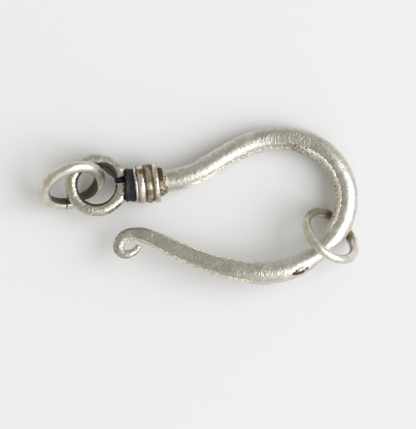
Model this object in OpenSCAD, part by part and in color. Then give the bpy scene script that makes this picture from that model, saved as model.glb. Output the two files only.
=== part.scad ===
// Hook and eye clasp in silver: a shepherd's hook on a ribbed collar and an end loop, with an open jump ring
// through the loop and the catch ring hooked over the rod. All three lie on a flat surface, z = 0, seen from
// above: x runs to the bend of the hook, y to the arm that leaves the collar, z up.

/* [Hook rod] */
// Diameter of the rod where it leaves the collar
rod_d = 2.25; // [2.0:0.05:2.4]
// Longest step between two sections of the rod
rod_step = 0.55; // [0.3:0.05:1.0]
// Sides of the rod's round section
rod_sides = 24; // [16:4:32]

/* [Collar and neck] */
// Diameter over the widest ridge of the collar, the one at the rod
collar_d = 4.12; // [3.9:0.02:4.3]
// Width of the groove between two ridges
groove_w = 0.06; // [0.04:0.01:0.10]
// Length of the fillet between the collar and the rod
fillet_l = 0.83; // [0.5:0.01:1.0]
// Diameter of the fillet at the collar
fillet_d = 2.95; // [2.6:0.05:3.2]
// Diameter of the dark neck between the collar and the end loop
neck_d = 3.42; // [3.2:0.02:3.44]
// Length of the neck
neck_l = 0.9; // [0.8:0.05:1.1]
// Turn of the neck and the end loop to the right of the stem, as they are a little bent
neck_turn = 7.5; // [0:0.5:10]
// Depth of the waist round the middle of the neck
waist_depth = 0.08; // [0.04:0.02:0.2]

/* [End loop] */
// Radius of the end loop's middle line
loop_r = 2.53; // [2.4:0.01:2.7]
// Diameter of the end loop's wire
loop_wire_d = 1.25; // [1.1:0.05:1.3]
// Width of the cleft between the two ends of the loop, at the neck
cleft_w = 0.6; // [0.3:0.1:0.8]
// Turn of the cleft from the axis of the neck
cleft_turn = 10.5; // [5:0.5:15]
// How far the loop is sunk into the neck, where it is soldered
loop_sunk = 0.25; // [0.2:0.05:0.4]

/* [Jump ring] */
// Radius of the jump ring's middle line
jump_r = 2.88; // [2.8:0.02:3.0]
// Diameter of the jump ring's wire
jump_wire_d = 1.15; // [0.9:0.05:1.2]
// Opening between the jump ring's butted ends
jump_gap = 0.08; // [0.04:0.02:0.2]

/* [Catch ring] */
// Radius of the catch ring's middle line
catch_r = 2.95; // [2.9:0.01:3.0]
// Diameter of the catch ring's wire
catch_wire_d = 0.92; // [0.8:0.02:1.0]
// Opening at the catch ring's seam
catch_gap = 0.06; // [0.04:0.02:0.2]

/* [Hidden] */
$fn = 64;

// How the hook lies: turned in plan, the side of its tip raised, and its bend end lowered
hook_turn = 7.5;
hook_tilt = -7.48;
hook_pitch = 1.46;
// Where the axis of the stem meets the front face of the collar, whose ridges touch the surface
hook_at = [-4.08, 2.40, 2.045];

// The rings stand on their lowest strand: centre in plan, turn in plan and tilt from the surface
jump_at = [-12.71, 2.06];
jump_turn = 23;
jump_tilt = 57;
jump_joint_angle = 240;
catch_at = [13.03, -2.95];
catch_turn = 137;
catch_tilt = 55;
catch_seam_angle = 229;

// The straight foot of the fillet at the collar
fillet_foot = 0.1;

// The rod from the collar to its tip, a row for each bend: its run, its turn, left being positive, and the
// diameter at its end. It is worn thinner where the catch ring rides, and ends in a small scroll.
RUN = 0;
TURN = 1;
DIA = 2;
rod_rows = [
    [fillet_foot, 0, fillet_d],
    [fillet_l, 0, rod_d],
    [4.6, 26, 2.30],
    [3.6, -7, 2.30],
    [6.4, -43, 2.30],
    [10.8, -104, 2.25],
    [3.3, -21, 1.90],
    [2.9, -17, 2.30],
    [4.4, -30, 2.30],
    [7.3, -17, 1.90],
    [3.5, 2, 1.55],
    [1.7, 31, 1.25],
    [1.8, 76, 1.12],
    [1.2, 94, 0.87],
    [1.6, 70, 0.60],
];
// Most turn and most change of diameter between two sections, how far the rod reaches back into the collar,
// and the tip's rounded edge
most_turn = 11;
most_taper = 0.15;
rod_root = 0.5;
tip_round = 0.08;

// The ridges of the collar from the neck to the rod: the width of each, how far it stands out from the core,
// and how far the core has narrowed there from its end at the rod
WIDTH = 0;
RISE = 1;
NARROWED = 2;
ridge_rows = [
    [0.28, 0.10, 0.04],
    [0.68, 0.16, 0.03],
    [0.62, 0.15, -0.05],
    [0.66, 0.24, 0.00],
];
core_r = collar_d / 2 - ridge_rows[len(ridge_rows) - 1][RISE];
collar_l = ridge_start(len(ridge_rows)) - groove_w;
// How deep a ridge's round section reaches into the core
ridge_root = 0.1;
// The neck reaches a little into the collar, and its axis runs to the centre of the end loop
neck_root = 0.26;
loop_away = neck_l + loop_r + loop_wire_d / 2 - loop_sunk;

function ridge_start(i) = i == 0 ? 0 : ridge_start(i - 1) + ridge_rows[i - 1][WIDTH] + groove_w;

function turned(p, a) = [p.x * cos(a) - p.y * sin(a), p.x * sin(a) + p.y * cos(a)];
function bend(run, turn) =
    turn == 0 ? [run, 0] : run / turn * 180 / PI * [sin(turn), 1 - cos(turn)];
function heading(i) = i == 0 ? 0 : heading(i - 1) + rod_rows[i - 1][TURN];
// Place in plan at the share t of a row's run
function place_at(i, t) =
    let (row = rod_rows[i])
    row_start(i) + turned(bend(row[RUN] * t, row[TURN] * t), heading(i));
function row_start(i) = i == 0 ? [0, 0] : place_at(i - 1, 1);
function start_dia(i) = rod_rows[max(i - 1, 0)][DIA];
function dia_at(i, t) =
    let (from = start_dia(i))
    from + (rod_rows[i][DIA] - from) * t * t * (3 - 2 * t);

// One section of the rod: its centre in plan, its heading and its radius
function section(i, t) = [place_at(i, t), heading(i) + rod_rows[i][TURN] * t, dia_at(i, t) / 2];
function row_steps(i) =
    let (row = rod_rows[i], taper = abs(row[DIA] - start_dia(i)))
    max(ceil(row[RUN] / rod_step), ceil(abs(row[TURN]) / most_turn), ceil(taper / most_taper));
function rod_sections() =
    let (tip = section(len(rod_rows) - 1, 1))
    [
        [[-rod_root, 0], 0, fillet_d / 2],
        for (i = [1:len(rod_rows) - 1])
            let (n = row_steps(i))
            for (k = [0:n - 1]) section(i, k / n),
        tip,
        [tip[0] + turned([tip_round, 0], tip[1]), tip[1], tip[2] - tip_round],
    ];
function section_ring(s) =
    [for (k = [0:rod_sides - 1])
        let (a = 360 * k / rod_sides, across = s[2] * cos(a))
        [s[0].x - across * sin(s[1]), s[0].y + across * cos(s[1]), s[2] * sin(a)]];

module rod() {
    sections = rod_sections();
    rings = len(sections);
    points = [for (s = sections) each section_ring(s)];
    walls = [
        for (j = [0:rings - 2], k = [0:rod_sides - 1])
            let (next = (k + 1) % rod_sides, a = j * rod_sides, b = a + rod_sides)
            [a + k, b + k, b + next, a + next]
    ];
    first = [for (k = [0:rod_sides - 1]) k];
    last = [for (k = [rod_sides - 1:-1:0]) (rings - 1) * rod_sides + k];
    polyhedron(points, concat(walls, [first, last]), convexity = 8);
}

module ridge_section(i) {
    row = ridge_rows[i];
    width = row[WIDTH];
    rise = row[RISE];
    foot_r = core_r - row[NARROWED];
    r = (width * width / 4 + rise * rise) / (2 * rise);
    square([foot_r, width + (i < len(ridge_rows) - 1 ? groove_w : 0)]);
    intersection() {
        translate([foot_r + rise - r, width / 2]) circle(r);
        translate([foot_r - ridge_root, 0]) square([rise + 2 * ridge_root, width]);
    }
}

module collar() {
    translate([-collar_l, 0, 0]) rotate([0, 90, 0]) rotate_extrude()
        for (i = [0:len(ridge_rows) - 1]) translate([0, ridge_start(i)]) ridge_section(i);
}

module neck() {
    waist_r = (neck_l * neck_l / 4 + waist_depth * waist_depth) / (2 * waist_depth);
    translate([-neck_l, 0, 0]) rotate([0, 90, 0]) rotate_extrude() difference() {
        square([neck_d / 2, neck_l + neck_root]);
        translate([neck_d / 2 - waist_depth + waist_r, neck_l / 2]) circle(waist_r);
    }
}

module open_ring(r, wire_d, gap, gap_angle) {
    half = asin(gap / 2 / r);
    rotate([0, 0, gap_angle + half])
        rotate_extrude(angle = 360 - 2 * half) translate([r, 0]) circle(d = wire_d);
}

module end_loop() {
    translate([-loop_away, 0, 0]) open_ring(loop_r, loop_wire_d, cleft_w, cleft_turn);
}

module hook() {
    color("silver")
        translate(hook_at) rotate([hook_tilt, hook_pitch, 0]) rotate([0, 0, hook_turn]) {
            translate([-collar_l, 0, 0]) rotate([0, 0, -neck_turn]) {
                end_loop();
                neck();
            }
            collar();
            rod();
        }
}

module standing_ring(at, turn, tilt, r, wire_d, gap, gap_angle) {
    translate([at.x, at.y, wire_d / 2 + r * sin(tilt)]) rotate([tilt, 0, turn])
        open_ring(r, wire_d, gap, gap_angle);
}

module jump_ring() {
    color("gainsboro")
        standing_ring(jump_at, jump_turn, jump_tilt, jump_r, jump_wire_d, jump_gap, jump_joint_angle);
}

module catch_ring() {
    color("lightgray")
        standing_ring(catch_at, catch_turn, catch_tilt, catch_r, catch_wire_d, catch_gap, catch_seam_angle);
}

hook();
jump_ring();
catch_ring();
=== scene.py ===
import math

import bpy
import numpy as np
from mathutils import Euler, Matrix, Vector, noise


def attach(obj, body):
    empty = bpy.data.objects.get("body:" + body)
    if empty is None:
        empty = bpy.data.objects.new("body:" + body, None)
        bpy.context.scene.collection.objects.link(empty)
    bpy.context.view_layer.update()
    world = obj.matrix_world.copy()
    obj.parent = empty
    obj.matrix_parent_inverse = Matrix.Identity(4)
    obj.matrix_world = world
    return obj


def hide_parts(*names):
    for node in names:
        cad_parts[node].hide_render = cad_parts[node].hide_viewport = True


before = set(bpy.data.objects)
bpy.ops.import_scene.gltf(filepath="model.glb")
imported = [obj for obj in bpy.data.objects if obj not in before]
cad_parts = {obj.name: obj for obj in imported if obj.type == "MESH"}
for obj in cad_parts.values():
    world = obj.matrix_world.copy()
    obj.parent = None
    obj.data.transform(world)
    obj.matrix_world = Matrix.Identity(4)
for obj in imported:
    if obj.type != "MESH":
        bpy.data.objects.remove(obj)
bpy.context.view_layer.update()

# The rod of the hook: silver, cast and filed round, bent into an open shepherd's hook in one plane. It is
# worn thin where the catch ring rides on it, and its tip is drawn out and curled into a small scroll.
ROD_SIDES = 40
ROD_ROOT = 0.5
FILLET_D = 2.95
# Run in mm, turn in degrees with left positive, and the diameter at the end of the run
ROD_BENDS = (
    (0.10, 0, 2.95),
    (0.83, 0, 2.25),
    (4.6, 26, 2.30),
    (3.6, -7, 2.30),
    (6.4, -43, 2.30),
    (10.8, -104, 2.25),
    (3.3, -21, 1.90),
    (2.9, -17, 2.30),
    (4.4, -30, 2.30),
    (7.3, -17, 1.90),
    (3.5, 2, 1.55),
    (1.7, 31, 1.25),
    (1.8, 76, 1.12),
    (1.2, 94, 0.87),
    (1.6, 70, 0.60),
)
LONGEST_DRAW = 0.47
MOST_TURN = 9
MOST_TAPER = 0.12
# The end of the tip is rounded in three steps: how far on each is, and how much smaller
TIP_ROUNDING = ((0.04, 0.96), (0.03, 0.86), (0.01, 0.6))

# All of the hook is made in mm about its stem, with the end of the collar at x = 0. It lies turned in plan,
# with the side of its tip raised and its bend lowered.
MM = 0.001
HOOK_AT = (-4.08, 2.40, 2.045)
HOOK_TILT, HOOK_PITCH, HOOK_TURN = -7.48, 1.46, 7.5
HOOK_LIES = (
    Matrix.Scale(MM, 4)
    @ Matrix.Translation(HOOK_AT)
    @ Euler((math.radians(HOOK_TILT), math.radians(HOOK_PITCH), 0)).to_matrix().to_4x4()
    @ Matrix.Rotation(math.radians(HOOK_TURN), 4, "Z")
)


def round_blank(name, sides, diameter, at, facing):
    """A filled disc in edit mode, from which a bar is drawn out or a ring is spun."""
    if bpy.context.object and bpy.context.object.mode == "EDIT":
        bpy.ops.object.mode_set(mode="OBJECT")
    bpy.ops.object.select_all(action="DESELECT")
    bpy.ops.mesh.primitive_circle_add(
        vertices=sides, radius=diameter / 2, fill_type="NGON", location=at, rotation=facing
    )
    piece = bpy.context.object
    piece.name = name
    bpy.ops.object.transform_apply(location=True, rotation=True, scale=True)
    bpy.ops.object.mode_set(mode="EDIT")
    bpy.ops.mesh.select_all(action="SELECT")
    return piece


def draw_out(step, turn, scale, centre):
    """Draws the selected end of a bar on by a step, then turns and scales it about its new centre."""
    bpy.ops.mesh.extrude_region_move(TRANSFORM_OT_translate={"value": step})
    if turn:
        bpy.ops.transform.rotate(value=-math.radians(turn), orient_axis="Z", center_override=centre)
    if scale != 1:
        bpy.ops.transform.resize(value=(scale,) * 3, center_override=centre)


def refine(piece, levels):
    """Ends edit mode, rounds the mesh off and shades it smooth."""
    bpy.ops.mesh.select_all(action="SELECT")
    bpy.ops.mesh.normals_make_consistent(inside=False)
    bpy.ops.object.mode_set(mode="OBJECT")
    rounding = piece.modifiers.new("rounding", "SUBSURF")
    rounding.levels = rounding.render_levels = levels
    bpy.ops.object.modifier_apply(modifier=rounding.name)
    bpy.ops.object.shade_smooth()


def skin_of(piece):
    """The places and normals of the piece's vertices."""
    places = np.empty(len(piece.data.vertices) * 3, np.float32)
    normals = np.empty_like(places)
    piece.data.vertices.foreach_get("co", places)
    piece.data.vertices.foreach_get("normal", normals)
    return places.reshape(-1, 3), normals.reshape(-1, 3)


def press_in(piece, skin, outward, depth):
    """Moves each vertex in from its skin by its own depth."""
    places = skin - outward * depth[:, None]
    piece.data.vertices.foreach_set("co", np.ascontiguousarray(places, np.float32).ravel())
    piece.data.update()


def mark(piece, drawn, tarnish_and_shade, worn, bright=0.0):
    """Keeps for each vertex what the silver reads: its place in the pattern, and from 0 to 1 how much tarnish
    and painted shade it has, how worn it is, with painted reflection on the rod's edges, and how pale it is,
    with bare grain and painted highlights and reflections."""
    layer = piece.data.attributes.new("drawn", "FLOAT_VECTOR", "POINT")
    layer.data.foreach_set("vector", np.ascontiguousarray(drawn, np.float32).ravel())
    for name, share in (("tarnish_and_shade", tarnish_and_shade), ("worn", worn), ("bright", bright)):
        layer = piece.data.attributes.new(name, "FLOAT", "POINT")
        layer.data.foreach_set("value", np.clip(share + np.zeros(len(drawn)), 0, 1).astype(np.float32))


def hammered(places, size, deep=1.0, shift=0):
    """Smooth noise at each place, as deep as given both ways, with lumps of about the size. A shift in mm
    gives other lumps."""
    return deep * np.array([noise.noise(Vector(p) / size) for p in places + shift])


def bump_round(distance, radius):
    """1 at the middle, falling smoothly to 0 at the radius."""
    return np.clip(1 - (distance / radius) ** 2, 0, 1) ** 2


def bell(distance, width):
    """1 at the middle, falling off smoothly on both sides."""
    return np.exp(-((distance / width) ** 2))


def rising(value, start, fade):
    """0 up to the start, and from there up to 1 over a stretch."""
    return np.clip((value - start) / fade, 0, 1)


def between(value, low, high, fade):
    """1 from low to high, fading to 0 over a stretch on both sides."""
    return np.clip((value - low) / fade + 0.5, 0, 1) * np.clip((high - value) / fade + 0.5, 0, 1)


def away_from(spot, places):
    """How far each place is from a spot."""
    return np.linalg.norm(places - spot, axis=1)


def lay_down(piece, lies):
    """Puts a finished piece where it lies, and ties it to the body."""
    piece.matrix_world = lies
    bpy.ops.object.select_all(action="DESELECT")
    piece.select_set(True)
    bpy.context.view_layer.objects.active = piece
    bpy.ops.object.transform_apply(location=True, rotation=True, scale=True)
    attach(piece, "root")


rod = round_blank("hook_rod", ROD_SIDES, FILLET_D, at=(-ROD_ROOT, 0, 0), facing=(0, math.pi / 2, 0))
centre = Vector((0, 0, 0))
draw_out(Vector((ROD_ROOT, 0, 0)), 0, 1, centre)
heading, length, diameter = 0.0, 0.0, FILLET_D
middle_line = [(0.0, 0.0, 0.0, 0.0, FILLET_D)]
for run, turn, end_d in ROD_BENDS:
    start_d = diameter
    steps = max(
        math.ceil(run / LONGEST_DRAW),
        math.ceil(abs(turn) / MOST_TURN),
        math.ceil(abs(end_d - start_d) / MOST_TAPER),
    )
    bend = math.radians(turn / steps)
    chord = run / steps * (math.sin(bend / 2) / (bend / 2) if turn else 1)
    for k in range(steps):
        way = math.radians(heading) + bend / 2
        step = Vector((math.cos(way), math.sin(way), 0)) * chord
        centre = centre + step
        t = (k + 1) / steps
        next_d = start_d + (end_d - start_d) * t * t * (3 - 2 * t)
        draw_out(step, turn / steps, next_d / diameter, centre)
        diameter = next_d
        heading += turn / steps
        length += run / steps
        middle_line.append((centre.x, centre.y, length, math.radians(heading), diameter))
tip_way = Vector((math.cos(math.radians(heading)), math.sin(math.radians(heading)), 0))
for reach, scale in TIP_ROUNDING:
    centre = centre + tip_way * reach
    draw_out(tip_way * reach, 0, scale, centre)
refine(rod, levels=2)

# Each vertex's place on the straightened rod: along it, to the left, and up. The curled tip comes close to
# the arm, whose skin is not to be taken for the tip's. The skin is done in parts, to save memory.
FINER = 5
SKIN_PARTS = 40
CURL_FROM, CURL_FADE, CURL_OFF = 51.5, 1.5, 0.6
line = np.array(middle_line)
shares = np.linspace(0, len(line) - 1, FINER * len(line))
line = np.stack([np.interp(shares, np.arange(len(line)), column) for column in line.T], 1)
skin, outward = skin_of(rod)
curl_off = CURL_OFF * rising(line[:, 2], CURL_FROM, CURL_FADE)
nearest = np.concatenate(
    [
        (((part[:, None, :2] - line[None, :, :2]) ** 2).sum(2) + curl_off).argmin(1)
        for part in np.array_split(skin, SKIN_PARTS)
    ]
)
line_x, line_y, line_along, line_way, rod_d = line[nearest].T
ahead = (skin[:, 0] - line_x) * np.cos(line_way) + (skin[:, 1] - line_y) * np.sin(line_way)
left = (skin[:, 1] - line_y) * np.cos(line_way) - (skin[:, 0] - line_x) * np.sin(line_way)
straight = np.stack([line_along + ahead, left, skin[:, 2]], 1)
along, height = straight[:, 0], straight[:, 2]
# Across the rod, 1 is its left edge and -1 its right edge, which is the inside of the bend
side = left / (rod_d / 2)

# Stretches of the rod: from and to in mm from the collar, and how long each fades in and out
HOLLOW = (-0.6, 0.50, 0.3)
CRUSTED = (-0.6, 0.86, 0.2)
STEM_AND_ARCH = (2.0, 19.0, 2.0)
ARCH_TOP = (11.5, 18.0, 3.0)
UNDER_ARCH = (12.5, 17.5, 3.0)
INSIDE_BEND = (15.2, 27.6, 2.2)
LOWER_ARM = (35.5, 52.5, 3.0)
ARM_TOP = (38.0, 51.0, 3.5)

# Filed by hand: shallow ripples and finer dents
depth = hammered(straight * (1, 0.7, 0.7), size=0.8, deep=0.008)
depth += hammered(straight * (1.6, 0.5, 0.5), size=0.42, deep=0.005)

# Two flats filed along its top, on the arch and on the lower arm, above this share of the radius
FLAT_FROM = 0.83
ARCH_FLATNESS, ARM_FLATNESS = 0.8, 0.9
flat = ARCH_FLATNESS * between(along, *ARCH_TOP) + ARM_FLATNESS * between(along, *ARM_TOP)
depth += flat * np.clip(height - FLAT_FROM * rod_d / 2, 0, 1)

# The unpolished strip along the inside of the bend: a raised, grainy edge with a fine groove beside it.
# Places across the rod are shares of its radius, from the edge of the strip.
STRIP_EDGE = -0.55
STRIP_LOWEST = -0.3
GROOVE_AT, GROOVE_W, GROOVE_DEPTH = 0.09, 0.045, 0.03
CREST_AT, CREST_W, CREST_RISE = -0.08, 0.13, 0.14
STRIP_GRIT = 0.10
STRIP_BRIGHT, STRIP_TARNISH, GROOVE_SHADE, STAIN_TARNISH = 0.49, 0.33, 0.50, 0.35
in_strip = between(along, *INSIDE_BEND) * (height > STRIP_LOWEST)
edge = side - STRIP_EDGE + hammered(straight * (1, 0, 0), size=0.6, deep=0.04)
strip = in_strip * rising(-edge, 0, fade=0.10)
grit = hammered(straight, size=0.13) + hammered(straight, size=0.08, deep=0.6, shift=7)
groove = in_strip * bell(edge - GROOVE_AT, GROOVE_W)
crest = in_strip * bell(edge - CREST_AT, CREST_W) * np.clip(0.7 + 1.6 * grit, 0, 1.3)
depth += strip * STRIP_GRIT * grit + GROOVE_DEPTH * groove - CREST_RISE * crest
# The crest is painted pale, a painted highlight on the raised edge; the rest of the strip is pale with bare
# grain
bright = np.maximum(crest, STRIP_BRIGHT * strip)
# The groove beside the crest is darkened with painted shade
tarnish_and_shade = np.maximum(STRIP_TARNISH * strip * (1 - 0.6 * crest), GROOVE_SHADE * groove)
# Where it begins, on the underside of the arch, the strip is only stained brown
stain = between(along, *UNDER_ARCH) * between(side, -1.2, -0.42, fade=0.16)
tarnish_and_shade = np.maximum(tarnish_and_shade, STAIN_TARNISH * stain)

# The lower arm is dull along its top; its rims are a speckled cream painted reflection of the table, beside a
# thin brown line
RIM_FROM = 0.65
RIM_LINE_AT, RIM_LINE_W = 0.61, 0.05
RIM_LINE_TARNISH, RIM_TARNISH, RIM_BRIGHT = 0.40, 0.24, 0.46
UNDERSIDE_FADE = 0.4
upper_side = np.clip(1 + height / UNDERSIDE_FADE, 0, 1)
on_arm = between(along, *LOWER_ARM) * upper_side
rim = on_arm * rising(np.abs(side) - RIM_FROM + 0.05 * grit, 0, fade=0.06)
rim_line = on_arm * bell(np.abs(side) - RIM_LINE_AT + 0.03 * grit, RIM_LINE_W)
rim_line *= np.clip(0.8 + hammered(straight * (1, 0.3, 0), size=1.3, deep=1.2), 0, 1)
tarnish_and_shade = np.maximum.reduce([tarnish_and_shade, RIM_LINE_TARNISH * rim_line, RIM_TARNISH * rim])
# Painted reflection of the table on the rims, broken up by grain
bright = np.maximum(bright, RIM_BRIGHT * rim)

# Fine cream specks along the lower edge of the stem and the arch, closest together on the stem: a painted
# reflection of the table
SPECKS_THIN_OUT = (5.0, 8.0)
SPECKS_FROM = 0.66
STEM_SPECKS, ARCH_SPECKS = 0.53, 0.43
speckled = between(along, *STEM_AND_ARCH) * rising(-side, SPECKS_FROM, fade=0.12)
speckled *= upper_side * np.interp(along, SPECKS_THIN_OUT, (STEM_SPECKS, ARCH_SPECKS))
# Painted reflection of the table along the lower edge
bright = np.maximum(bright, speckled)

# The scroll is brown along its outer edge, and its skin is rough
SCROLL_FROM = 48.5
BROWN_EDGE_FROM = 45.0
SCROLL_GRIT = 0.018
SCROLL_PIT_TARNISH, SCROLL_PITS_ABOVE = 0.42, 0.30
on_scroll = rising(along, SCROLL_FROM, fade=1.5)
outer_edge = rising(along, BROWN_EDGE_FROM, fade=2.0) * rising(-side, 0.76, fade=0.10)
bright *= 1 - outer_edge
tarnish_and_shade = np.maximum(tarnish_and_shade, outer_edge * np.clip(0.45 + 0.5 * grit, 0, 0.6))
tarnish_and_shade = np.maximum(tarnish_and_shade, SCROLL_PIT_TARNISH * on_scroll * (grit > SCROLL_PITS_ABOVE))
depth += on_scroll * SCROLL_GRIT * grit

# Pits, folds and beads in the skin: place along the rod, angle up from its left side, radius, depth and
# how dark it is. A bead stands out and is painted pale, a painted highlight, so its depth and its darkness
# are negative.
MARKS = (
    (32.66, 48, 0.26, 0.06, 1.0),
    (32.42, 42, 0.26, 0.05, 1.0),
    (32.38, 59, 0.20, 0.04, 0.7),
    # The next four are painted shade below and to the right of the flaw's two beads
    (32.12, 38, 0.28, 0.05, 0.9),
    (31.80, 36, 0.28, 0.04, 0.8),
    (31.50, 38, 0.26, 0.03, 0.5),
    (31.36, 43, 0.26, 0.03, 0.62),
    (32.02, 57, 0.24, -0.14, -1.0),
    (31.66, 58, 0.20, -0.12, -1.0),
    (22.55, 70, 0.09, 0.05, 0.7),
    (33.70, 72, 0.08, 0.04, 0.7),
    (24.20, 96, 0.07, 0.02, 0.4),
    (43.05, 131, 0.14, 0.03, 0.7),
    (42.88, 130, 0.13, 0.03, 0.6),
    (42.65, 129, 0.10, 0.02, 0.5),
    (42.40, 129, 0.08, 0.02, 0.45),
    (42.15, 129, 0.08, 0.02, 0.4),
    (41.90, 128, 0.08, 0.02, 0.4),
    (14.10, 112, 0.08, 0.02, 0.4),
    (44.11, 115, 0.08, -0.03, -1.0),
    (40.34, 93, 0.07, -0.03, -0.9),
    (49.61, 79, 0.07, -0.03, -0.9),
)
DARK_REACH = 1.3
BEAD_OUTLINE_W = 0.06
for at_s, up, radius, deep, dark in MARKS:
    rod_r = line[np.abs(line[:, 2] - at_s).argmin(), 4] / 2
    spot = np.array([at_s, rod_r * math.cos(math.radians(up)), rod_r * math.sin(math.radians(up))])
    away = away_from(spot, straight)
    bump = bump_round(away, radius)
    depth += deep * bump
    tarnish_and_shade = np.maximum(tarnish_and_shade, dark * bump_round(away, radius * DARK_REACH))
    if dark < 0:
        outline = 3 * abs(deep) * (1 + grit) * bell(away - radius, BEAD_OUTLINE_W)
        tarnish_and_shade = np.maximum(tarnish_and_shade * (1 - bump), outline)
        # Painted highlight on the bead
        bright = np.maximum(bright, -0.6 * dark * bump)

# The hollow behind the collar, dark and grainy, and crusted with gold-brown tarnish below
CRUST_GRIT, CRUST_TARNISH = 0.022, 0.43
hollow = between(along, *HOLLOW) * np.where(side < -0.1, 0.40, 0.75)
crusted = between(along, *CRUSTED) * (side < 0.3)
tarnish_and_shade = np.maximum.reduce([tarnish_and_shade, hollow, CRUST_TARNISH * crusted])
depth += crusted * CRUST_GRIT * grit

# How brightly it is worn, along the rod: most on the bend, least on the lower arm; its edges are lightened as
# a painted reflection of the table
WORN = (
    (0.0, 0.15),
    (1.3, 0.55),
    (5.0, 0.85),
    (10.0, 0.9),
    (13.0, 0.25),
    (17.0, 0.15),
    (20.0, 0.9),
    (33.0, 1.0),
    (36.5, 0.60),
    (40.0, 0.1),
    (50.0, 0.1),
    (52.0, 0.35),
)
EDGES_FROM = 0.72
worn = np.interp(along, *np.transpose(WORN)) + hammered(straight, size=1.2, deep=0.25)
# The edges are lightened as a painted reflection of the table
worn = np.clip(worn + 3.0 * np.clip(np.abs(side) - EDGES_FROM, 0, 1), 0, 1)
press_in(rod, skin, outward, depth)
mark(rod, straight, tarnish_and_shade, worn * (1 - 0.5 * bright), bright)


def silver(name, shine, dull, oxide_and_shade, gloss, streaks, grain, cloudy=1.0):
    """Worn silver for a marked piece. Its colours are where it is rubbed, where it is dull and where it is
    oxidised, which is also the colour of painted shade; gloss is its roughness where rubbed and where dull;
    streaks and grain give the depth in mm of its marks and their sizes along the piece, across it and up;
    cloudy is how mottled its dull parts are."""
    material = bpy.data.materials.new(name)
    material.use_nodes = True
    nodes, links = material.node_tree.nodes, material.node_tree.links
    metal = nodes["Principled BSDF"]

    def link(socket, value):
        if isinstance(value, bpy.types.NodeSocket):
            links.new(value, socket)
        else:
            socket.default_value = (*value, 1) if isinstance(value, tuple) else value

    def attribute(kind):
        node = nodes.new("ShaderNodeAttribute")
        node.attribute_name = kind
        return node.outputs["Vector" if kind == "drawn" else "Fac"]

    def cloud(sizes, detail):
        """Noise over the piece, with lumps of these sizes in mm along it, across it and up."""
        scaled = nodes.new("ShaderNodeMapping")
        scaled.inputs["Scale"].default_value = [1 / size for size in sizes]
        links.new(attribute("drawn"), scaled.inputs["Vector"])
        lumps = nodes.new("ShaderNodeTexNoise")
        lumps.inputs["Scale"].default_value = 1.0
        lumps.inputs["Detail"].default_value = detail
        links.new(scaled.outputs["Vector"], lumps.inputs["Vector"])
        return lumps.outputs["Fac"]

    def stretch(value, low, high, to_low=0.0, to_high=1.0):
        """Takes the value's range from low to high to another one, and keeps it inside that."""
        node = nodes.new("ShaderNodeMapRange")
        for socket, amount in zip(node.inputs, (value, low, high, to_low, to_high)):
            link(socket, amount)
        return node.outputs["Result"]

    def blend(share, first, second):
        node = nodes.new("ShaderNodeMix")
        node.data_type = "RGBA"
        for socket, value in (("Factor", share), ("A", first), ("B", second)):
            link(node.inputs[socket], value)
        return node.outputs["Result"]

    def joined(how, *values):
        node = nodes.new("ShaderNodeMath")
        node.operation = how
        for socket, value in zip(node.inputs, values):
            link(socket, value)
        return node.outputs["Value"]

    def bumped(height, depth, under=None, strength=1.0):
        """Bumps of a depth in mm, laid over the ones under them."""
        node = nodes.new("ShaderNodeBump")
        node.inputs["Distance"].default_value = depth * MM
        link(node.inputs["Strength"], strength)
        links.new(height, node.inputs["Height"])
        if under:
            links.new(under, node.inputs["Normal"])
        return node.outputs["Normal"]

    def tinted(shares):
        """The dull colour with these shares of its red, green and blue."""
        return tuple(share * c for share, c in zip(shares, dull))

    # Rubbed in patches, and dull with fine dark pinholes between them
    patches = stretch(cloud((0.9, 0.9, 0.9), 5), 0.30, 0.52, 0.35, 1.0)
    pinholes = stretch(cloud((0.13, 0.13, 0.13), 3), 0.30, 0.38, 0.30, 0.0)
    rubbed = joined("MULTIPLY", attribute("worn"), patches)
    sound = blend(pinholes, blend(rubbed, dull, shine), tinted((0.5, 0.5, 0.5)))

    # Mottled with brown smudges and dark spots, less so where it is much worn, and golden where it is stained
    # and where shade is painted
    left_dull = stretch(attribute("worn"), 0.75, 1.0, 1.0, 0.55)
    smudges = stretch(cloud((0.45, 0.3, 0.3), 4), 0.45, 0.60, 0.0, 0.3 + 0.5 * cloudy)
    spots = stretch(cloud((0.22, 0.22, 0.22), 2), 0.40, 0.62, 0.0, 0.42 * cloudy)
    browned = blend(joined("MULTIPLY", left_dull, smudges), sound, tinted((0.97, 0.90, 0.79)))
    mottled = blend(joined("MULTIPLY", left_dull, spots), browned, tinted((0.62, 0.62, 0.62)))
    stain_and_shade = stretch(attribute("tarnish_and_shade"), 0.22, 0.42)
    mottled = blend(joined("MULTIPLY", stain_and_shade, 0.75), mottled, tinted((0.92, 0.78, 0.60)))

    # Bare grain and painted light show as pale flecks, and oxide and painted shade over it all break up into
    # crumbs at their edges
    flecks = joined("ADD", attribute("bright"), cloud((0.16, 0.16, 0.16), 3))
    crumbs = joined("ADD", attribute("tarnish_and_shade"), cloud((0.17, 0.17, 0.17), 3))
    lit = stretch(flecks, 0.92, 1.00)
    broken = stretch(crumbs, 0.84, 0.96)
    broken = joined("MULTIPLY", broken, stretch(attribute("tarnish_and_shade"), 0.2, 0.6, 0.65, 1.0))
    link(metal.inputs["Base Color"], blend(broken, blend(lit, mottled, (0.93, 0.87, 0.76)), oxide_and_shade))
    link(metal.inputs["Metallic"], stretch(lit, 0.0, 1.0, 1.0, 0.4))

    # Stains, oxide, painted shade, bare grain and painted light are more matt than the metal
    matt = joined("MAXIMUM", joined("MULTIPLY", stain_and_shade, 0.25), joined("MULTIPLY", lit, 0.50))
    matt = joined("MAXIMUM", joined("MULTIPLY", broken, 0.30), matt)
    link(metal.inputs["Roughness"], joined("ADD", stretch(rubbed, 0.0, 1.0, gloss[1], gloss[0]), matt))

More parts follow.
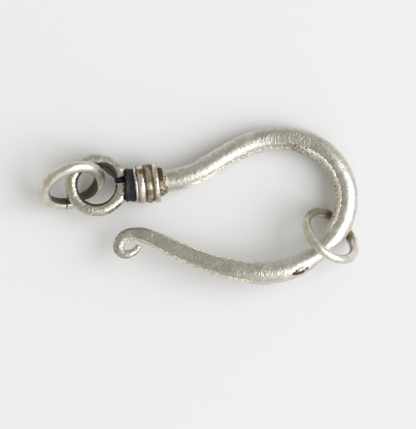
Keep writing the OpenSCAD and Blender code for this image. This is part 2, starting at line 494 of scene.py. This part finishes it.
    # Fine grain, stronger in crust, under the streaks of the file, which are stronger where it is worn
    crust = joined("MAXIMUM", attribute("bright"), attribute("tarnish_and_shade"))
    fine = bumped(cloud(grain[1:], 4), grain[0], strength=stretch(crust, 0.0, 0.4, 0.5, 1.0))
    filed = stretch(attribute("worn"), 0.0, 0.8, 0.6, 1.0)
    link(metal.inputs["Normal"], bumped(cloud(streaks[1:], 3), streaks[0], fine, filed))
    return material


rod.data.materials.append(
    silver(
        "filed silver",
        shine=(0.77, 0.745, 0.70),
        dull=(0.545, 0.535, 0.465),
        oxide_and_shade=(0.085, 0.062, 0.045),
        gloss=(0.35, 0.31),
        streaks=(0.050, 0.15, 0.50, 0.50),
        grain=(0.040, 0.12, 0.12, 0.12),
    )
)
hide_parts("hook")
lay_down(rod, HOOK_LIES)

# The collar: four ridges turned in a sleeve of silver that is soldered over the end of the rod, rubbed bright
# on top and brown with tarnish between them. A thin one stands at the neck, and they widen to the rod.
COLLAR_L = 2.42
COLLAR_CORE_R = 1.2
COLLAR_BACK_R = 1.72
COLLAR_EDGE_R = 1.62
COLLAR_FACE_R = 1.30
# Start, width, radius of the groove before it and radius of its top
RIDGES = (
    (0.00, 0.27, 1.78, 1.88),
    (0.30, 0.68, 1.80, 1.96),
    (1.12, 0.56, 1.87, 1.97),
    (1.86, 0.56, 1.84, 2.06),
)
RIDGE_STEPS = 8
RIDGE_FULLNESS = 0.7
# The third ridge is dull, and a dark blotch lies across the second. Only the collar's flat ends lie inside
# this radius, and they are tarnished all over.
ENDS_INSIDE_R = 1.70
THIRD_RIDGE = (-COLLAR_L + 1.08, -COLLAR_L + 1.90, 0.1)
BLOTCH_AT, BLOTCH_R = (-1.65, 1.05, 1.6), 0.75


def turn_profile(name, sides, profile):
    """Turns a round piece along X through the given (x, radius) pairs, with flat ends."""
    (x, radius), *rest = profile
    piece = round_blank(name, sides, radius * 2, at=(x, 0, 0), facing=(0, math.pi / 2, 0))
    for next_x, next_r in rest:
        draw_out(Vector((next_x - x, 0, 0)), 0, next_r / radius, Vector((next_x, 0, 0)))
        x, radius = next_x, next_r
    return piece


profile = [(-COLLAR_L, COLLAR_CORE_R), (-COLLAR_L, COLLAR_BACK_R)]
for start, width, foot, top in RIDGES:
    for k in range(RIDGE_STEPS + 1):
        t = math.pi * k / RIDGE_STEPS
        x = -COLLAR_L + start + width / 2 * (1 - math.cos(t))
        profile.append((x, foot + (top - foot) * math.sin(t) ** RIDGE_FULLNESS))
profile += [(0.0, COLLAR_EDGE_R), (0.0, COLLAR_FACE_R)]
collar = turn_profile("collar", sides=96, profile=profile)
refine(collar, levels=1)
skin, outward = skin_of(collar)
radius_there = np.hypot(skin[:, 1], skin[:, 2])
waver = hammered(skin * (0.25, 1, 1), size=1.1, deep=0.035)
waver *= between(skin[:, 0], -COLLAR_L + 0.1, -0.1, fade=0.2)
dents = hammered(skin, size=0.35, deep=0.010) + hammered(skin, size=0.13, deep=0.006, shift=3)
skin = skin + waver[:, None] * (1, 0, 0)
press_in(collar, skin, outward, 0.008 + dents)
across = skin[:, 0] - waver
groove = np.ones(len(skin))
for start, width, foot, top in RIDGES:
    middle = -COLLAR_L + start + width / 2
    crown = np.sqrt(np.clip(1 - ((across - middle) / (width / 2)) ** 2, 0, 1))
    groove = np.minimum(groove, 1 - crown)
groove = np.where(radius_there < ENDS_INSIDE_R, 1.0, groove)
third = between(across, *THIRD_RIDGE)
blotches = np.clip(hammered(skin * (1, 0.6, 0.6), size=0.5, deep=1.2), 0, 0.5)
blotches += 1.3 * bump_round(away_from(BLOTCH_AT, skin), BLOTCH_R)
tarnish_and_shade = np.maximum(groove * 0.62 - 0.14, 0.26 * third) + 0.5 * blotches
mark(collar, skin, tarnish_and_shade, worn=1 - groove - 0.9 * third)
collar.data.materials.append(
    silver(
        "collar silver",
        shine=(0.84, 0.80, 0.73),
        dull=(0.50, 0.46, 0.38),
        oxide_and_shade=(0.17, 0.13, 0.095),
        gloss=(0.22, 0.36),
        streaks=(0.030, 0.5, 0.16, 0.16),
        grain=(0.025, 0.14, 0.14, 0.14),
    )
)
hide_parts("hook")
lay_down(collar, HOOK_LIES)

# The neck: a short sleeve between the collar and the end loop, which it was soldered to. Solder and old
# oxide have left it nearly black. It is bent a little to the right of the stem, with the loop.
NECK_L = 0.9
NECK_ROOT = 0.26
NECK_R = 1.71
NECK_WAIST = 0.09
NECK_TURN = -7.5
NECK_LIES = (
    HOOK_LIES
    @ Matrix.Translation((-COLLAR_L, 0, 0))
    @ Matrix.Rotation(math.radians(NECK_TURN), 4, "Z")
)
# Its rounded edge at the loop, and how far from it the waist begins
NECK_EDGE = ((-NECK_L, 1.3), (-NECK_L, 1.62), (-NECK_L + 0.03, 1.68))
NECK_EDGE_L = 0.08
NECK_STEPS = 8
profile = list(NECK_EDGE)
for k in range(NECK_STEPS + 1):
    x = -NECK_L + NECK_EDGE_L + (NECK_L - NECK_EDGE_L) * k / NECK_STEPS
    waist = NECK_WAIST * math.sin(math.pi * (x + NECK_L) / NECK_L) ** 2
    profile.append((x, NECK_R - waist))
profile.append((NECK_ROOT, NECK_R))
neck = turn_profile("neck", sides=80, profile=profile)
# The lump of black solder that fills the cleft of the loop
LUMP_AT = (-1.36, 0.47, -0.10)
LUMP_SIZE = (1.35, 0.86, 0.96)
bpy.ops.mesh.primitive_uv_sphere_add(
    segments=32, ring_count=20, radius=0.5, location=LUMP_AT, scale=LUMP_SIZE
)
refine(neck, levels=1)
skin, outward = skin_of(neck)
crusty = hammered(skin, size=0.34, deep=0.032) + hammered(skin, size=0.14, deep=0.014, shift=5)
press_in(neck, skin, outward, 0.020 + crusty)
mark(neck, skin, tarnish_and_shade=0.92 + 6 * crusty, worn=0.2)
neck.data.materials.append(
    silver(
        "black oxide",
        shine=(0.34, 0.32, 0.30),
        dull=(0.14, 0.13, 0.13),
        oxide_and_shade=(0.052, 0.051, 0.056),
        gloss=(0.26, 0.34),
        streaks=(0.012, 0.4, 0.15, 0.15),
        grain=(0.012, 0.12, 0.12, 0.12),
    )
)
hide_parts("hook")
lay_down(neck, NECK_LIES)

# The end loop: a thick wire bent round, with its two ends butted at the neck and a dark cleft between them.
# Solder has run up both sides where it meets the neck, and the inner side of the loop is darkened.
LOOP_R = 2.53
LOOP_WIRE_R = 0.625
LOOP_SUNK = 0.25
LOOP_AWAY = NECK_L + LOOP_R + LOOP_WIRE_R - LOOP_SUNK
CLEFT_TURN = 10.5
CLEFT_W = 0.6
# Round patches on the loop: the middle and the spread of each in degrees from the cleft, and how strong it
# is, which for solder and dents is in mm
SOLDER = ((-30, 30, 0.13), (20, 22, 0.20))
WEB = ((40, 38, 0.30),)
DENTED = ((-20, 30, 0.06),)
INNER_DARKENING = ((-115, 75, 0.26), (40, 50, 0.6))
BROWN = ((-62, 34, 0.75),)
CLEFT_SPREAD = 9.5
WEB_TOP = 0.25
LOOP_DARKENING_FROM = 0.62
PITS_AT, PITS_R = (-1.05, -2.25, 0.55), 0.35
WIRE_SIDES = 32
RING_STEPS = 64
# A wire's cut end is eased over this length, from its shoulder to its smaller face
EASED = 0.06
SHOULDER, FACE = 0.97, 0.90


def spin_ring(name, wire_r, ring_r, opening_at, opening):
    """Bends a wire round Z into a ring with eased ends, with its opening in mm at an angle in degrees."""
    half = math.degrees(math.asin(opening / 2 / ring_r))
    start, sweep = opening_at + half, 360 - 2 * half

    def place(swept):
        a = math.radians(start + swept)
        return Vector((math.cos(a), math.sin(a), 0)) * ring_r

    facing = (math.pi / 2, 0, math.radians(start))
    piece = round_blank(name, WIRE_SIDES, wire_r * 2, at=place(0), facing=facing)
    bpy.ops.transform.resize(value=(FACE,) * 3, center_override=place(0))
    ease = math.degrees(EASED / ring_r)
    rounded = ease * 0.25
    full = [ease + (sweep - 2 * ease) * k / RING_STEPS for k in range(RING_STEPS + 1)]
    stops = [rounded, *full, sweep - rounded, sweep]
    sizes = [SHOULDER] + [1.0] * len(full) + [SHOULDER, FACE]
    swept, size = 0.0, FACE
    for stop, next_size in zip(stops, sizes):
        draw_out(place(stop) - place(swept), stop - swept, next_size / size, place(stop))
        swept, size = stop, next_size
    return piece


def ring_places(skin, ring_r):
    """Each vertex's angle round the ring, its place in a pattern that closes on itself round the ring, and
    how far it stands outward of the middle of the wire."""
    angle = np.degrees(np.arctan2(skin[:, 1], skin[:, 0]))
    out_by = np.hypot(skin[:, 0], skin[:, 1]) - ring_r
    a = np.radians(angle)
    return angle, np.stack([2 * np.cos(a) * ring_r, 2 * np.sin(a) * ring_r, out_by], 1), out_by


def patches(rows, angle):
    """The sum of some round patches: for each, its middle, its spread and how strong it is."""
    return sum(strong * bump_round(angle - middle, spread) for middle, spread, strong in rows)


def angle_from(middle, angle):
    """The angle from a middle one, between -180 and 180 degrees."""
    return (angle - middle + 180) % 360 - 180


loop = spin_ring("end_loop", LOOP_WIRE_R, LOOP_R, CLEFT_TURN, CLEFT_W)
refine(loop, levels=2)
skin, outward = skin_of(loop)
angle, pattern, out_by = ring_places(skin, LOOP_R)
from_cleft = angle_from(CLEFT_TURN, angle)
out_share = out_by / LOOP_WIRE_R
solder = patches(SOLDER, from_cleft) * np.clip(out_share, 0, 1)
solder += patches(WEB, from_cleft) * np.clip(-out_share, 0, 1) * (skin[:, 2] < WEB_TOP)
grit = hammered(skin, size=0.16)
dents = hammered(skin, size=0.7, deep=0.030) + hammered(skin, size=0.25, deep=0.016, shift=9)
dents += patches(DENTED, from_cleft) * grit
press_in(loop, skin, outward, 0.004 + dents - solder)
# The inner side of the loop is darkened, most beside the neck on its upper side
inside = rising(patches(INNER_DARKENING, from_cleft) - out_share, LOOP_DARKENING_FROM, fade=0.2)
at_cleft = bump_round(from_cleft, CLEFT_SPREAD)
brown = patches(BROWN, from_cleft) * rising(out_share, 0.3, fade=0.5) * np.clip(0.6 + grit, 0, 1)
pits = 0.8 * bump_round(away_from(PITS_AT, skin), PITS_R) * np.clip(0.5 + 2 * grit, 0, 1)
mark(loop, pattern, np.maximum.reduce([inside, at_cleft, brown, pits]), worn=0.3 + 0.9 * grit)
loop.data.materials.append(
    silver(
        "loop silver",
        shine=(0.80, 0.77, 0.69),
        dull=(0.53, 0.52, 0.43),
        oxide_and_shade=(0.13, 0.11, 0.105),
        gloss=(0.22, 0.36),
        streaks=(0.060, 0.3, 0.3, 0.3),
        grain=(0.028, 0.13, 0.13, 0.13),
    )
)
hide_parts("hook")
lay_down(loop, NECK_LIES @ Matrix.Translation((-LOOP_AWAY, 0, 0)))

# The jump ring: round silver wire bent into a ring, passed through the end loop and closed with a butt joint
# that is left unsoldered. It stands on its lowest side and leans over the loop.
JUMP_R = 2.88
JUMP_WIRE_R = 0.575
JUMP_AT = (-12.71, 2.06)
JUMP_TURN, JUMP_TILT = 23, 57
JUMP_JOINT = 240
JUMP_GAP = 0.08
# Painted shade on the inner side of its lower strands: the share of the wire's radius from which it lies, and
# where it is widest
JUMP_SHADE_FROM = 0.45
JUMP_INNER_SHADE = ((-53, 38, 0.6),)
JOINT_SPREAD = 3


def standing_ring(at, ring_r, wire_r, turn, tilt):
    """Where a ring lies that stands tilted on its lowest side."""
    tilt = math.radians(tilt)
    return (
        Matrix.Scale(MM, 4)
        @ Matrix.Translation((*at, wire_r + ring_r * math.sin(tilt)))
        @ Matrix.Rotation(math.radians(turn), 4, "Z")
        @ Matrix.Rotation(tilt, 4, "X")
    )


jump = spin_ring("jump_ring_wire", JUMP_WIRE_R, JUMP_R, JUMP_JOINT, JUMP_GAP)
refine(jump, levels=2)
skin, outward = skin_of(jump)
angle, pattern, out_by = ring_places(skin, JUMP_R)
dents = hammered(skin, size=0.8, deep=0.012) + hammered(skin, size=0.22, deep=0.005, shift=4)
press_in(jump, skin, outward, 0.006 + dents)
at_joint = bump_round(angle_from(JUMP_JOINT, angle), JOINT_SPREAD)
# The inner side of its lower strands is darkened with painted shade
inside = rising(patches(JUMP_INNER_SHADE, angle) - out_by / JUMP_WIRE_R, JUMP_SHADE_FROM, fade=0.4)
inside *= np.sin(np.radians(angle)) < -0.1
worn = 0.6 + hammered(skin, size=0.9, deep=0.5)
mark(jump, pattern, np.maximum(0.5 * at_joint, 0.8 * inside), worn)
jump.data.materials.append(
    silver(
        "jump ring silver",
        shine=(0.85, 0.80, 0.73),
        dull=(0.56, 0.52, 0.445),
        oxide_and_shade=(0.15, 0.12, 0.095),
        gloss=(0.30, 0.38),
        streaks=(0.006, 0.8, 0.8, 0.2),
        grain=(0.005, 0.15, 0.15, 0.15),
        cloudy=0.3,
    )
)
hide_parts("jump_ring")
lay_down(jump, standing_ring(JUMP_AT, JUMP_R, JUMP_WIRE_R, JUMP_TURN, JUMP_TILT))

# The catch ring: the eye of the clasp, of thinner wire with a soldered seam, hooked over the rod. It is
# rubbed bright where it slides and brown round its seam, and painted with shade where it passes under the
# rod.
CATCH_R = 2.95
CATCH_WIRE_R = 0.46
CATCH_AT = (13.03, -2.95)
CATCH_TURN, CATCH_TILT = 137, 55
CATCH_SEAM = 229
CATCH_GAP = 0.06
SEAM_SWELLING = 0.10
# Angle and spread in degrees of where it is rubbed most, and of the painted shade where it passes under the
# rod
RUBBED_AT, RUBBED_SPREAD = 190, 50
SHADE_UNDER_ROD_AT, SHADE_UNDER_ROD_SPREAD = -60, 27
# Spread in degrees of the seam's swelling, and of the brown beside it, which lies a little to one side
SWELLING_SPREAD = 34
BROWN_SPREAD, BROWN_ASIDE = 26, 4
catch = spin_ring("catch_ring_wire", CATCH_WIRE_R, CATCH_R, CATCH_SEAM, CATCH_GAP)
refine(catch, levels=2)
skin, outward = skin_of(catch)
angle, pattern, out_by = ring_places(skin, CATCH_R)
from_seam = angle_from(CATCH_SEAM, angle)
dents = hammered(skin, size=0.8, deep=0.010) + hammered(skin, size=0.22, deep=0.005, shift=2)
swelling = bump_round(from_seam, SWELLING_SPREAD) * np.clip(-out_by / CATCH_WIRE_R + 0.5, 0, 1)
press_in(catch, skin, outward, 0.006 + dents - SEAM_SWELLING * swelling)
inner = 0.55 - out_by / CATCH_WIRE_R + hammered(skin, size=0.3, deep=0.3)
at_seam = bump_round(from_seam - BROWN_ASIDE, BROWN_SPREAD) * np.clip(inner, 0, 1)
# Painted shade where the ring passes under the rod, darkening it like tarnish
shade_under_rod = bump_round(angle_from(SHADE_UNDER_ROD_AT, angle), SHADE_UNDER_ROD_SPREAD)
rubbed = bump_round(angle_from(RUBBED_AT, angle), RUBBED_SPREAD)
worn = 0.6 + hammered(skin, size=0.9, deep=0.5) + 0.5 * rubbed
mark(catch, pattern, np.maximum(0.55 * at_seam, 0.6 * shade_under_rod), worn)
catch.data.materials.append(
    silver(
        "catch ring silver",
        shine=(0.86, 0.83, 0.77),
        dull=(0.56, 0.545, 0.47),
        oxide_and_shade=(0.26, 0.20, 0.13),
        gloss=(0.24, 0.32),
        streaks=(0.006, 0.8, 0.8, 0.2),
        grain=(0.005, 0.15, 0.15, 0.15),
        cloudy=0.3,
    )
)
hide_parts("catch_ring")
lay_down(catch, standing_ring(CATCH_AT, CATCH_R, CATCH_WIRE_R, CATCH_TURN, CATCH_TILT))

# The table top: a wide sheet of pale, matt card, laid flat. The clasp lies on it, and the card is a hair
# below the lowest points of the metal.
CARD_SIZE = 2.4
CARD_Z = -0.00001
bpy.ops.mesh.primitive_plane_add(size=CARD_SIZE, location=(0, 0, CARD_Z))
table_top = bpy.context.object
table_top.name = "table_top"
bpy.ops.object.transform_apply(location=True)
card = bpy.data.materials.new("pale card")
card.use_nodes = True
face = card.node_tree.nodes["Principled BSDF"]
face.inputs["Base Color"].default_value = (0.778, 0.767, 0.750, 1)
face.inputs["Roughness"].default_value = 0.9
face.inputs["Specular IOR Level"].default_value = 0.1
table_top.data.materials.append(card)

# The light of a small studio: one large soft box on the right, a weak one and a low dim one in front of the
# table, all a little cool, and a dim room whose walls are warm near the floor.
LIGHT_REACH = 1.2
LIGHT_COLOUR = (0.955, 0.995, 1.09)
ROOM_STRENGTH = 0.42


def soft_box(name, azimuth, elevation, size, watts):
    """A square light at an azimuth and elevation in degrees, facing the middle of the table."""
    a, up = math.radians(azimuth), math.radians(elevation)
    away = Vector((math.cos(a) * math.cos(up), math.sin(a) * math.cos(up), math.sin(up)))
    facing = (math.pi / 2 - up, 0, a + math.pi / 2)
    bpy.ops.object.light_add(type="AREA", location=away * LIGHT_REACH, rotation=facing)
    lamp = bpy.context.object
    lamp.name = name
    lamp.data.shape = "RECTANGLE"
    lamp.data.size, lamp.data.size_y = size
    lamp.data.color = LIGHT_COLOUR
    lamp.data.energy = watts


soft_box("soft_box_right", azimuth=-4, elevation=39, size=(1.3, 1.12), watts=15.5)
soft_box("soft_box_front", azimuth=-60, elevation=51, size=(1.5, 1.3), watts=2.8)
soft_box("soft_box_front_low", azimuth=-58, elevation=16, size=(1.3, 0.7), watts=1.2)
room = bpy.data.worlds.new("room")
room.use_nodes = True
nodes, links = room.node_tree.nodes, room.node_tree.links
direction = nodes.new("ShaderNodeTexCoord")
parts = nodes.new("ShaderNodeSeparateXYZ")
links.new(direction.outputs["Generated"], parts.inputs["Vector"])
walls = nodes.new("ShaderNodeValToRGB")
low, high = walls.color_ramp.elements
low.position, low.color = 0.04, (1.40, 1.36, 1.22, 1)
middle = walls.color_ramp.elements.new(0.20)
middle.color = (0.96, 0.93, 0.82, 1)
high.position, high.color = 0.92, (1.10, 1.09, 1.01, 1)
links.new(parts.outputs["Z"], walls.inputs["Fac"])
links.new(walls.outputs["Color"], nodes["Background"].inputs["Color"])
nodes["Background"].inputs["Strength"].default_value = ROOM_STRENGTH
bpy.context.scene.world = room

# The camera looks straight down from 260 mm, so that 10 pixels are 1 mm at the height of the rod. The
# picture's longer side is 429 pixels.
CAMERA_AT = (0.85, -0.85, 260)
FOCAL_PX = 2580
PICTURE_PX = 429
SENSOR = 36
bpy.ops.object.camera_add(location=Vector(CAMERA_AT) * MM, rotation=(0, 0, 0))
camera = bpy.context.object
camera.data.sensor_width = SENSOR
camera.data.lens = SENSOR * FOCAL_PX / PICTURE_PX
camera.data.clip_start = 0.01
camera.data.clip_end = 20
bpy.context.scene.camera = camera
bpy.context.scene.view_settings.view_transform = "Standard"
